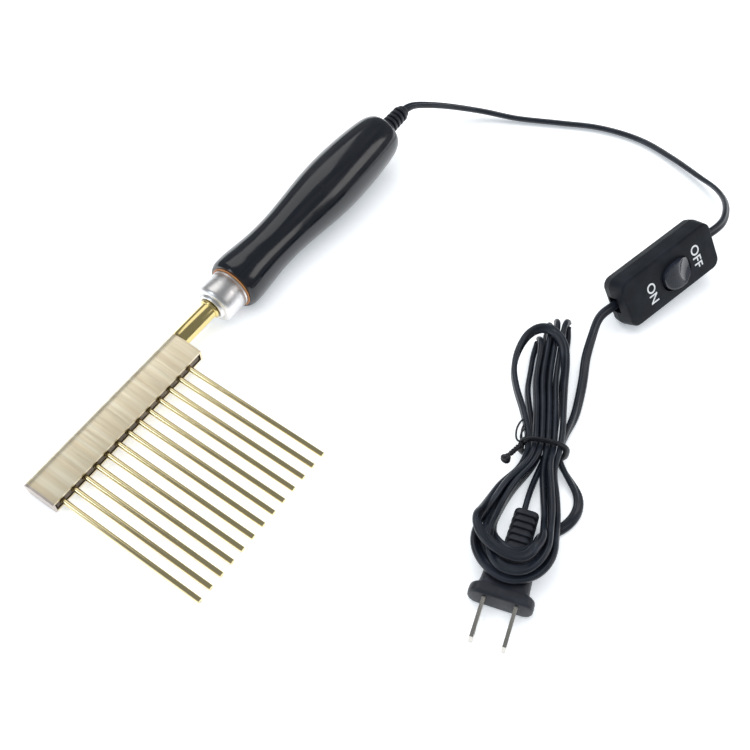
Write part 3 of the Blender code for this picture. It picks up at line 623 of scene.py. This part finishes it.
# The big loop that lies on the upper half, in the same terms
BIG_LOOP = (
    (9, 7.4, 9.4), (18, 6.6, 10.9), (30, 5.4, 11.9, 15), (42.8, 4.4, 12.2, 40),
    (52.4, 2.4, 12.6, 60), (58.6, -2.0, 13.0, 60), (60.4, -7.2, 12.9, 45), (57.0, -12.6, 12.0, 30),
    (49, -16.2, 10.6, 15), (37.7, -17.2, 9.6), (27, -14.6, 9.6), (17.5, -10.8, 9.8),
    (8.5, -7.7, 9.4),
)
PLUG_LEAD = (
    (9.4, 0.9, 2.9), (16.0, 0.1, 3.1), (22.5, -0.3, 4.2), (29.2, -0.3, 5.4), (35.0, -0.3, 5.6),
)


def on_hank(points, turn, side=1):
    """Points (along, across, height, roll) of one half, on the floor; roll is 0 where left out."""
    along = Vector((math.cos(turn), math.sin(turn), 0))
    across = side * Vector((math.sin(turn), -math.cos(turn), 0))
    placed = []
    for point in points:
        at = WAIST + along * point[0] + across * point[1]
        placed.append(Vector((at.x, at.y, point[2], point[3] if len(point) > 3 else ON_EDGE)))
    return placed


def upper(points):
    return on_hank(points, UPPER_TURN)


def lower(points):
    return on_hank(points, LOWER_TURN, -1)


def lane_across(lane):
    return LANE_CENTRE + (lane - 2.5) * LANE_PITCH


def in_tie(lane, layer):
    """Where a strand passes the tie."""
    return upper([(0.0, lane_across(lane), LAYER[layer])])


def fold(lane):
    """Out along the upper half near the floor, and back on top of it."""
    upper_across, lower_across, reach = UPPER_FOLDS[lane]
    start = lane_across(lane)
    out = [(9, start * 0.8 + lower_across * 0.2, 3.2), (20, start * 0.4 + lower_across * 0.6, 2.7),
           (32, lower_across, 2.6), (reach - 16, lower_across, 2.6), (reach - 6.5, lower_across, 2.5),
           (reach - 1.5, lower_across * 0.75 + upper_across * 0.25, 3.3)]
    turn = [(reach, (lower_across + upper_across) / 2, 6.0)]
    back = [(reach - 1.9, lower_across * 0.2 + upper_across * 0.8, 8.6),
            (reach - 6.5, upper_across, 8.7), (reach - 14.0, upper_across, 7.6),
            (36, upper_across, 7.3), (22, start * 0.5 + upper_across * 0.5, 7.5),
            (9, start * 0.85 + upper_across * 0.15, 8.3)]
    return upper(out + turn + back)


def lower_leg(side, lane, height, near, early, bulge, reach, crown):
    """From the tie to the top of the plug, on the left (-1) or right (1) of it. Lane counts
    outwards in strands, near is the across place in the tie, early is how much sooner the leg
    starts to climb, and bulge is how far it gives way to the strands beside it."""
    shift = lane * LEG_PITCH + LEG_SPREAD[side]
    scale = reach / LEG_REACH

    def level(along):
        share = min(max((along + early - CLIMB_START) / CLIMB_SPAN, 0), 1)
        return height + (crown - height) * share * share * (3 - 2 * share)

    points = [(9, near * 0.65 + side * (6.4 + 0.6 * shift) * 0.35, height + 0.9)]
    for along, across, give in ((19, 9.6, 0.1), (30, 12.3, 0.35), (40, 13.5, 1.0)):
        points.append((along, side * (across + shift + give * bulge), level(along)))
    for along, across, give, roll in (
            (48.0, 13.9 + shift, 1.0, 20), (53.8, 12.8 + 0.9 * shift, 0.9, 45),
            (59.2, 9.9 + 0.7 * shift, 0.6, 70), (63.0, 5.4, 0.2, FLAT)):
        along *= scale
        points.append((along, side * (across + give * bulge), level(along + 1.5), roll))
    return points


def lower_lap(left, right, reach, crown):
    """A loop below the tie, from its right leg to its left one. Each leg is (lane, height, near,
    early, bulge), and crown is the height at which the loop lies on the plug."""
    going = lower_leg(1, *right, reach, crown)
    coming = lower_leg(-1, *left, reach, crown)
    return lower(going + [(reach, 0.0, crown, FLAT)] + coming[::-1])


def hank_route():
    """One unbroken cord from the tie's right side through every loop of the hank to the plug."""
    return [
        *in_tie(5, "low"), *(Vector(point) for point in SIDE_LOOP), *lower(FIRST_LAP),
        *in_tie(2, "low"), *fold(2), *in_tie(2, "high"),
        *lower_lap((INNER, 7.4, lane_across(2), 0, 0), (MIDDLE, 9.8, lane_across(4), 0, 0),
                   61.8, 14.8)[::-1],
        *in_tie(4, "high"), *fold(4)[::-1], *in_tie(4, "low"),
        *lower_lap((MIDDLE, 2.7, lane_across(1), 0, 0), (MIDDLE, 5.1, lane_across(4), -4, 0),
                   59.4, 12.2),
        *in_tie(1, "low"), *fold(1), *in_tie(1, "high"),
        *lower_lap((MIDDLE, 7.4, lane_across(1), -6, 2.6), (OUTER, 5.1, lane_across(5), 0, 0),
                   64.3, 12.3)[::-1],
        *in_tie(5, "high"), *upper(BIG_LOOP), *in_tie(0, "high"),
        *lower_lap((OUTER, 3.0, lane_across(0), 6, 1.0), (INNER, 5.1, lane_across(3), 2, 0),
                   57.2, 17.3)[::-1],
        *in_tie(3, "high"), *fold(3)[::-1], *in_tie(3, "low"), *lower(PLUG_LEAD),
    ]


def in_switch(along):
    """A point of the cord on the switch's own line, at that distance along the case."""
    at = SWITCH @ (Vector((along, 0, CORD_LINE_Z)) * MM) / MM
    return Vector((*at, SWITCH_ROLL))


def cord_piece(name, route, nodes, **facts):
    """A cord laid along a route of (x, y, z, roll) in millimetres."""
    path = softened(smooth_through(route, CORD_STEP), 5)
    obj = as_piece(name, swept(path, twin_section()), "cord_jacket", Matrix.Identity(4), nodes,
                   sharp=60)


# --- tie ---------------------------------------------------------------------------------------

# The tie's band round the waist: half sizes and middle height of its oval, wire and how far it
# leans from one end to the other. Then the cut-off end's knot, and the two loose loops.
BAND_HALF = (9.3, 6.2)
BAND_HEIGHT = 7.2
BAND_WIRE = 0.75
BAND_WIDE = 1.9
BAND_LEAN = 1.4
BAND_STEPS = 64
TWIST = ((0.2, -8.2, 8.4), (-1.2, -9.3, 8.6), (-3.6, -11.0, 8.4), (-6.2, -12.8, 8.2))
KNOT = (-8.3, -14.1, 8.1)
KNOT_RADIUS = 1.35
TIE_LOOPS = (
    ((0.3, -8.6, 8.8), (1.0, -10.8, 9.6), (5.1, -11.6, 10.2), (9.2, -10.6, 10.6),
     (11.0, -9.3, 10.4), (10.2, -8.6, 10.2), (6.0, -9.4, 10.0), (2.2, -9.0, 9.4)),
    ((0.6, -8.2, 8.6), (2.2, -9.4, 9.8), (4.6, -9.2, 10.6), (6.2, -8.0, 10.8),
     (5.0, -7.4, 10.4), (2.6, -7.6, 9.6)),
)


def twisted_pair(points, radius, turns):
    """Two wires wound round a line."""
    centre = smooth_through(points, 0.4)
    strands = []
    for phase in (0.0, math.pi):
        wire = []
        for index, point in enumerate(centre):
            ahead = centre[min(index + 1, len(centre) - 1)].xyz
            along = (ahead - centre[max(index - 1, 0)].xyz).normalized()
            side = along.cross(UP).normalized()
            angle = phase + 2 * math.pi * turns * index / (len(centre) - 1)
            offset = (side * math.cos(angle) + side.cross(along) * math.sin(angle)) * radius
            wire.append(Vector((*(point.xyz + offset), 0)))
        strands.append(wire)
    return strands


def joined(shapes):
    """Several bmeshes as one."""
    whole = bmesh.new()
    for shape in shapes:
        mesh = bpy.data.meshes.new("part")
        bmesh.ops.recalc_face_normals(shape, faces=shape.faces)
        shape.to_mesh(mesh)
        shape.free()
        whole.from_mesh(mesh)
        bpy.data.meshes.remove(mesh)
    return whole


def tie_band():
    outline = oval_outline(*BAND_HALF, BAND_STEPS, 3.0)
    line = []
    for step in range(BAND_STEPS + 1):
        across, height = outline[(BAND_STEPS // 2 + step) % BAND_STEPS]
        lean = BAND_LEAN * (step / BAND_STEPS - 0.5)
        line += upper([(lean, LANE_CENTRE + across, BAND_HEIGHT + height)])
    return swept(line, [(wide * BAND_WIDE, thin) for wide, thin in round_section(BAND_WIRE, 16)])


def tie_knot():
    """The wire's end wound into a ball."""
    line = []
    for step in range(44):
        angle = step * 0.35
        line.append((KNOT[0] + KNOT_RADIUS * math.cos(angle) * math.cos(0.37 * angle),
                     KNOT[1] + KNOT_RADIUS * math.sin(angle),
                     KNOT[2] + 1.0 * math.sin(0.6 * angle + 0.5)))
    return swept(softened(upper(line), 1), round_section(0.85, 12))


def make_tie():
    parts = [tie_band()]
    for wire in twisted_pair(upper(TWIST), 0.6, 3.0):
        parts.append(swept(wire, round_section(0.62, 10)))
    parts.append(tie_knot())
    for loop in TIE_LOOPS:
        parts.append(swept(smooth_through(upper(loop), 0.5), round_section(0.42, 10)))
    return as_piece("tie", joined(parts), "tie_plastic", Matrix.Identity(4), ["twist_tie"],
                    sharp=60)


# --- head --------------------------------------------------------------------------------------

def head_outline(inset=0.0):
    """The head across its length as (height, across), open at the tine side."""
    steps = 24
    half, face_half = HEAD_HALF - inset, HEAD_FACE_HALF - inset
    shoulder = HEAD_NOSE - 5.0
    outline = [(face_half, HEAD_FACE), (half, shoulder)]
    for step in range(steps + 1):
        angle = math.pi * step / steps
        outline.append((half * math.cos(angle),
                        HEAD_NOSE + (HEAD_BACK - inset - HEAD_NOSE) * math.sin(angle)))
    return outline + [(-half, shoulder), (-face_half, HEAD_FACE)]


def along_head(outline, start, end, bevel):
    rings = [[(x, across, height) for height, across in outline] for x in (start, end)]
    return rounded(skin(rings), bevel, 40)


def make_head():
    channel = head_outline() + head_outline(HEAD_WALL)[::-1]
    as_piece("head_casing", along_head(channel, HEAD_END + CAP_THICK, HEAD_NECK - CAP_THICK, 0.18),
             "brushed_brass", FORK, ["head_shell"])
    as_piece("end_cap", along_head(head_outline(), HEAD_END, HEAD_END + CAP_THICK, 0.3),
             "satin_metal", FORK, ["head_end_cap"], finish=CAP_METAL)
    as_piece("neck_end_cap", along_head(head_outline(), HEAD_NECK - CAP_THICK, HEAD_NECK, 0.3),
             "brushed_brass", FORK, ["neck_plate"])
    profile = [(TINE_ROOT, TINE_RADIUS), (TINE_TIP - 0.3, TINE_RADIUS),
               (TINE_TIP - 0.08, TINE_RADIUS - 0.1), (TINE_TIP, TINE_RADIUS - 0.3)]
    for index in range(TINES):
        x = ((TINES - 1) / 2 - index) * TINE_PITCH
        place = FORK @ Matrix.Translation((x * MM, 0, 0)) @ Matrix.Rotation(-math.pi / 2, 4, "Z")
        as_piece(f"fork_tine_{index + 1:02d}", turned(profile, 32), "tine_brass", place,
                 [f"tine_{index + 1:02d}"])


# --- neck, ferrule and handle ------------------------------------------------------------------

def half_round(centre, radius, width):
    """Profile points of a bead round the axis, from its back to its front."""
    steps = 8
    return [(centre + width * math.cos(math.pi * step / steps),
             radius + width * math.sin(math.pi * step / steps)) for step in range(steps + 1)]


def make_neck():
    neck = [(76.0, NECK_RADIUS), *half_round(BEAD_AT, NECK_RADIUS, 0.9),
            (HEAD_NECK + 0.9, NECK_RADIUS), (HEAD_NECK + 0.3, NECK_RADIUS - 0.25),
            (HEAD_NECK + 0.1, 3.2), (76.0, 3.2)]
    as_piece("neck", turned(neck, 72, True), "polished_brass", FORK, ["neck_tube"])

    front, radius = FERRULE_FRONT, FERRULE_RADIUS
    ferrule = [
        (FERRULE_BACK, radius - 0.1), (FERRULE_BACK - 0.2, radius), (FERRULE_BACK - 0.9, radius),
        (FERRULE_BACK - 1.05, radius - 0.12), (FERRULE_BACK - 1.3, radius - 0.12),
        (FERRULE_BACK - 1.45, radius), (front + 3.0, radius - 0.05),
    ]
    for step in range(9):  # the drawn shoulder
        angle = math.pi / 2 * step / 8
        ferrule.append((front + 2.2 - 2.2 * math.sin(angle),
                        radius - 2.25 + 2.15 * math.cos(angle)))
    ferrule += [
        (front - 0.02, 7.45), (front + 0.25, 7.25), (front + 0.25, 7.0), (front, 6.85),
        (front - 0.5, 6.7), (front - 0.95, 6.5), (front - 1.15, 6.1), (front - 1.2, 5.7),
        (front - 0.9, 5.35), (front - 0.5, 5.1), (front, 4.5), (front + 1.0, 4.3),
        (front + 1.0, radius - 1.8), (front + 2.2, radius - 0.9), (FERRULE_BACK, radius - 0.9),
    ]
    as_piece("ferrule_cup", turned(ferrule, 96, True), "satin_metal", FORK, ["ferrule"], sharp=40)


def make_handle():
    outer = [point[:2] for point in smooth_through([(*point, 0, 0) for point in HANDLE_SHAPE], 1.2)]
    front = [(FERRULE_BACK + 0.55, 11.3), (FERRULE_BACK + 0.35, 10.7), (FERRULE_BACK + 0.3, 9.9),
             (FERRULE_BACK + 0.3, 8.7)]
    tail = [(203.45, 7.4), (203.5, 6.6), (203.4, 5.7), (203.0, 5.3), (RELIEF_START - 0.3, 5.3)]
    profile = [*outer[::-1], *front, (73.0, 8.7), (73.0, 4.4), (RELIEF_START - 0.3, 4.4),
               *tail[::-1]]
    as_piece("grip", turned(profile, 128, True), "lacquered_wood", FORK, ["handle"], sharp=45)
    ring = [(FERRULE_BACK + 0.28, 10.1), (FERRULE_BACK + 0.28, 10.75), (FERRULE_BACK + 0.02, 10.75),
            (FERRULE_BACK - 0.1, 10.5), (FERRULE_BACK - 0.1, 10.0)]
    as_piece("bare_wood_ring", turned(ring, 96, True), "lacquered_wood", FORK, finish=BARE_WOOD)

    relief = [(RELIEF_START, 5.0), (RELIEF_OUT, 4.8), (RELIEF_OUT + 0.5, 4.6)]
    pitch = (RELIEF_END - 3.0 - RELIEF_OUT) / RELIEF_RIBS
    for rib in range(RELIEF_RIBS):
        start = RELIEF_OUT + 0.5 + rib * pitch
        radius = 4.4 - 0.07 * rib
        relief += [(start + 0.06 * pitch, radius - 1.1), (start + 0.34 * pitch, radius - 1.1),
                   (start + 0.42 * pitch, radius - 0.15), (start + 0.5 * pitch, radius),
                   (start + 0.86 * pitch, radius), (start + 0.96 * pitch, radius - 0.15)]
    relief += [(RELIEF_END - 2.2, 3.35), (RELIEF_END - 0.8, 3.3), (RELIEF_END - 0.3, 3.1),
               (RELIEF_END, 2.8), (RELIEF_END, 2.35), (RELIEF_START, 2.35)]
    as_piece("relief", turned(relief, 64, True), "black_rubber", FORK, ["strain_relief"])


# --- in-line switch ----------------------------------------------------------------------------

def case_shell(open_end, closed_end):
    """A tray from its open side at the seam to its closed side, which has rounded edges. Its ends
    are notched where the cord goes in."""
    inward = 1 if closed_end < open_end else -1
    levels = [(open_end, 0.0),
              (open_end + (closed_end - open_end) * 0.5, CASE_TAPER / 2)]
    for step in range(8):
        angle = math.pi / 2 * step / 7
        levels.append((closed_end + inward * CASE_EDGE * (1 - math.sin(angle)),
                       CASE_TAPER + CASE_EDGE * (1 - math.cos(angle))))
    rings = []
    for height, shrink in levels:
        outline = rounded_outline(SWITCH_LENGTH - 2 * shrink, SWITCH_WIDTH - 2 * shrink,
                                  SWITCH_CORNER - 0.5 * shrink)
        rings.append([(x, y, height) for x, y in outline])
    room_ends = sorted((closed_end + inward * CASE_WALL, open_end + inward * 3))
    room = prism(rounded_outline(SWITCH_LENGTH - 3.6, SWITCH_WIDTH - 3.6, SWITCH_CORNER - 1.5),
                 *room_ends)
    shell = cut(skin(rings), room)
    for side in (-1, 1):
        notch = prism(rounded_outline(CORD_NOTCH, CORD_NOTCH, 0.6, 4), *CORD_NOTCH_Z)
        shell = cut(shell, shifted(notch, side * SWITCH_LENGTH / 2))
    return shell


def window_lip():
    """The raised edge round the button's window."""
    section = [(0.35, 0.0), (0.3, 0.22), (0.0, 0.3), (-0.15, 0.1), (-0.15, -0.6), (0.35, -0.6)]
    rings = []
    for x, y in oval_outline(*LIP_HALF):
        out = Vector((x, y, 0)).normalized()
        rings.append([(ROCKER_X + x + out.x * wide, ROCKER_Y + y + out.y * wide,
                       SWITCH_HALF + 0.02 + tall * 0.8) for wide, tall in section])
    return as_piece("window_lip", skin(rings, True), "matte_plastic", SWITCH)


def lettering(word, along, start):
    """A printed word on the case's top, that starts there and reads across the case."""
    data = bpy.data.curves.new(f"print_{word}", "FONT")
    data.body = word
    data.size = PRINT_SIZE * MM
    data.extrude = PRINT_PROUD * MM
    data.offset = 0.09 * MM
    data.space_character = 1.04
    data.materials.append(PRINT_WHITE)
    text = bpy.data.objects.new(f"print_{word}", data)
    bpy.context.scene.collection.objects.link(text)
    place = Vector((along, start, SWITCH_HALF + PRINT_PROUD)) * MM
    text.matrix_world = (SWITCH @ Matrix.Translation(place)
                         @ Matrix.Rotation(-math.pi / 2, 4, "Z"))
    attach(text, "root")
    return text


def make_switch():
    cover = case_shell(SWITCH_SEAM + SEAM_GAP, SWITCH_HALF)
    window = shifted(prism(oval_outline(*WINDOW_HALF), 3.0, 9.0), ROCKER_X, ROCKER_Y)
    cover = cut(cover, window)
    base = case_shell(SWITCH_SEAM - SEAM_GAP, -SWITCH_HALF)
    for x, y in CASE_SCREWS:
        well = shifted(prism(oval_outline(2.6, 2.6, 32, 2.0), -9.0, -4.2), x, y)
        base = cut(base, well)
    return [
        as_piece("case_cover", cover, "matte_plastic", SWITCH, ["switch_cover"]),
        as_piece("case_base", base, "matte_plastic", SWITCH, ["switch_base"]),
        window_lip(),
        lettering("ON", -15.0, 3.6),
        lettering("OFF", 13.8, 5.8),
    ]


def button_top(x, y):
    """The ON side rises to a ridge, and a shallow scoop falls away from it to the OFF side."""
    behind = RIDGE_X - x
    rise = RIDGE_Z - RISE_SLOPE * behind - RISE_CURVE * behind * behind
    scoop = SCOOP_Z - math.sqrt(SCOOP_RADIUS ** 2 - (x - SCOOP_X) ** 2 - y * y)
    share = min(max(0.5 + (scoop - rise) / RIDGE_ROUND / 2, 0.0), 1.0)
    return rise * share + scoop * (1 - share) - RIDGE_ROUND * share * (1 - share)


def make_rocker():
    outline = oval_outline(*BUTTON_HALF, 128)
    rings = [[(x, y, BUTTON_FOOT) for x, y in outline]]
    rounded_edge = ((1.0, 0.30), (0.992, 0.12), (0.975, 0.03), (0.95, 0.0))
    for scale, drop in (*rounded_edge, *((0.95 - 0.05 * step, 0.0) for step in range(1, 19))):
        rings.append([(x * scale, y * scale, button_top(x * scale, y * scale) - drop)
                      for x, y in outline])
    return as_piece("button", skin(rings), "gloss_plastic", ROCKER, ["rocker"], "rocker", 40)


# --- plug --------------------------------------------------------------------------------------

def block_ring(along, half_width, half_height, corner):
    """A rounded rectangle across the plug's axis."""
    outline = rounded_outline(2 * half_width, 2 * half_height, corner, 8)
    return [(along, y, z) for y, z in outline]


# The plug's flange and shoulder: (along, half width, half height, corner)
PLUG_SHAPE = (
    (0.0, 11.7, 4.1, 3.2), (-0.25, 12.4, 4.7, 3.7), (-0.8, 12.9, 5.1, 4.1), (-1.6, 13.0, 5.2, 4.2),
    (-3.6, 12.9, 5.2, 4.2), (-4.4, 12.6, 5.1, 4.1), (-4.9, 11.9, 5.05, 3.9),
    (-5.2, 10.9, 5.0, 3.6), (-6.0, 10.1, 4.95, 3.3), (-8.0, 9.8, 4.95, 3.1),
    (-12.0, 9.6, 4.95, 3.0), (-15.0, 9.1, 4.9, 3.0), (-18.0, 8.2, 4.75, 2.9),
    (-21.0, 6.8, 4.5, 2.8), (-23.5, 5.6, 4.3, 2.7),
)


def make_plug():
    rings = [block_ring(*ring) for ring in PLUG_SHAPE]
    for rib in range(PLUG_RIBS):
        start = -24.6 - rib * PLUG_RIB_PITCH
        size = 5.3 - 0.06 * rib
        for offset, drop in ((0.0, 0.0), (-0.15, 0.3), (-0.35, 1.0), (-1.5, 1.0), (-1.7, 0.3),
                             (-1.85, 0.0), (-2.9, 0.0)):
            rings.append(block_ring(start + offset, size - drop * 0.5, 4.25 - drop, 2.6))
    for along, drop in ((-40.6, 0.0), (-41.2, 0.25), (-41.5, 0.9), (-41.5, 2.0)):
        rings.append(block_ring(along, 5.0 - drop, 4.25 - drop, 2.6 - drop * 0.6))
    body = as_piece("plug_moulding", skin(rings), "plug_vinyl", PLUG, ["plug_body"])

    pieces = [body]
    half = BLADE_WIDTH / 2
    for name, side in (("blade_left", 1), ("blade_right", -1)):
        outline = [(-BLADE_IN, -half), (BLADE_OUT - 1.6, -half), (BLADE_OUT - 0.5, -half + 0.5),
                   (BLADE_OUT, -half + 1.6), (BLADE_OUT, half - 1.6), (BLADE_OUT - 0.5, half - 0.5),
                   (BLADE_OUT - 1.6, half), (-BLADE_IN, half)]
        plate = rounded(prism(outline, -BLADE_THICK / 2, BLADE_THICK / 2), 0.3, 60)
        hole = prism(oval_outline(BLADE_HOLE, BLADE_HOLE, 40, 2.0), -3, 3)
        plate = cut(plate, shifted(hole, BLADE_OUT - 4.0))
        place = (PLUG @ Matrix.Translation((0, side * BLADE_SPACING / 2 * MM, 0))
                 @ Matrix.Rotation(math.pi / 2, 4, "X"))
        pieces.append(as_piece(f"{name}_plated", plate, "nickel", place, [name]))
    return pieces


# --- stage -------------------------------------------------------------------------------------

WORLD_STRENGTH = 0.26
FLOOR_HALF = 6.0
FLOOR_GLOW = 0.40
# Name, place, size, power in watts, colour, and whether glossy surfaces mirror it
SOFTBOXES = (
    ("ceiling_light", (0.0, 0.0, 1.4), (1.6, 1.6), 20.0, (1.0, 1.0, 1.0), False),
    ("back_softbox", (0.30, 0.54, 0.87), (0.80, 0.72), 2.0, (1.0, 0.985, 0.96), True),
    ("side_softbox", (-0.75, 0.45, 0.55), (0.25, 0.60), 1.8, (0.82, 0.90, 1.0), True),
    ("front_softbox", (0.62, -0.73, 0.55), (0.60, 0.38), 1.25, (1.0, 0.96, 0.94), True),
)


def make_stage():
    shape = bmesh.new()
    bmesh.ops.create_grid(shape, x_segments=1, y_segments=1, size=FLOOR_HALF)
    mesh = bpy.data.meshes.new("floor")
    shape.to_mesh(mesh)
    shape.free()
    floor = bpy.data.objects.new("floor", mesh)
    bpy.context.scene.collection.objects.link(floor)
    made = Finish("studio_floor", (0.90, 0.90, 0.90), 0.75, specular=0.2)
    made.vary_colour(made.noise(3, 2), (0.885, 0.885, 0.885), 0.4, 0.7)
    made.shader.inputs["Emission Color"].default_value = (0.86, 0.93, 1.0, 1)
    made.shader.inputs["Emission Strength"].default_value = FLOOR_GLOW
    mesh.materials.append(made.material)

    world = bpy.data.worlds.new("studio")
    world.use_nodes = True
    world.node_tree.nodes["Background"].inputs["Color"].default_value = (0.93, 0.97, 1.0, 1)
    world.node_tree.nodes["Background"].inputs["Strength"].default_value = WORLD_STRENGTH
    bpy.context.scene.world = world
    for name, at, size, power, colour, in_reflections in SOFTBOXES:
        data = bpy.data.lights.new(name, "AREA")
        data.shape = "RECTANGLE"
        data.size, data.size_y = size
        data.energy = power
        data.color = colour
        lamp = bpy.data.objects.new(name, data)
        bpy.context.scene.collection.objects.link(lamp)
        lamp.location = at
        lamp.rotation_euler = (-Vector(at)).to_track_quat("-Z", "Y").to_euler()
        lamp.visible_glossy = in_reflections
    view = bpy.context.scene.view_settings
    view.view_transform = "Standard"
    view.look = "None"
    view.exposure = 0.0


# --- putting it together -----------------------------------------------------------------------

def finish_cad_nodes():
    """The inner pieces keep their CAD shape and get their slot's finish."""
    slots = {part["node"]: part["material_slot"] for part in frame["record"]["subparts"]}
    for name, obj in frame["nodes"].items():
        if not obj.hide_render:
            obj.data.materials.clear()
            obj.data.materials.append(FINISHES[slots[name]])


make_head()
make_neck()
make_handle()
switch_pieces = make_switch() + [make_rocker()]
plug_pieces = make_plug()
tie = make_tie()

relief_mouth = FORK @ (Vector((RELIEF_END - 4.0, 0, 0)) * MM) / MM
cord_piece(
    "cord_from_handle",
    [Vector((*relief_mouth, FLAT)), *(Vector(point) for point in TO_SWITCH),
     in_switch(SWITCH_MOUTH), in_switch(SWITCH_INSIDE)],
    ["cord_to_switch"],
    exit=Vector(TO_SWITCH[0][:3]) * MM, length=0.248, far_end="fitting", stiffness="medium",
    lay="loose", with_pieces=switch_pieces,
)
cord_piece(
    "cord_to_plug",
    [in_switch(-SWITCH_INSIDE), in_switch(-SWITCH_MOUTH), *(Vector(point) for point in TO_TIE),
     *hank_route()],
    ["cord_to_hank", "hank_upper", "hank_lower", "plug_lead"],
    exit=in_switch(-SWITCH_MOUTH).xyz * MM, length=1.5, far_end="plug", stiffness="medium",
    lay="coiled", with_pieces=plug_pieces + [tie],
)
finish_cad_nodes()
make_stage()
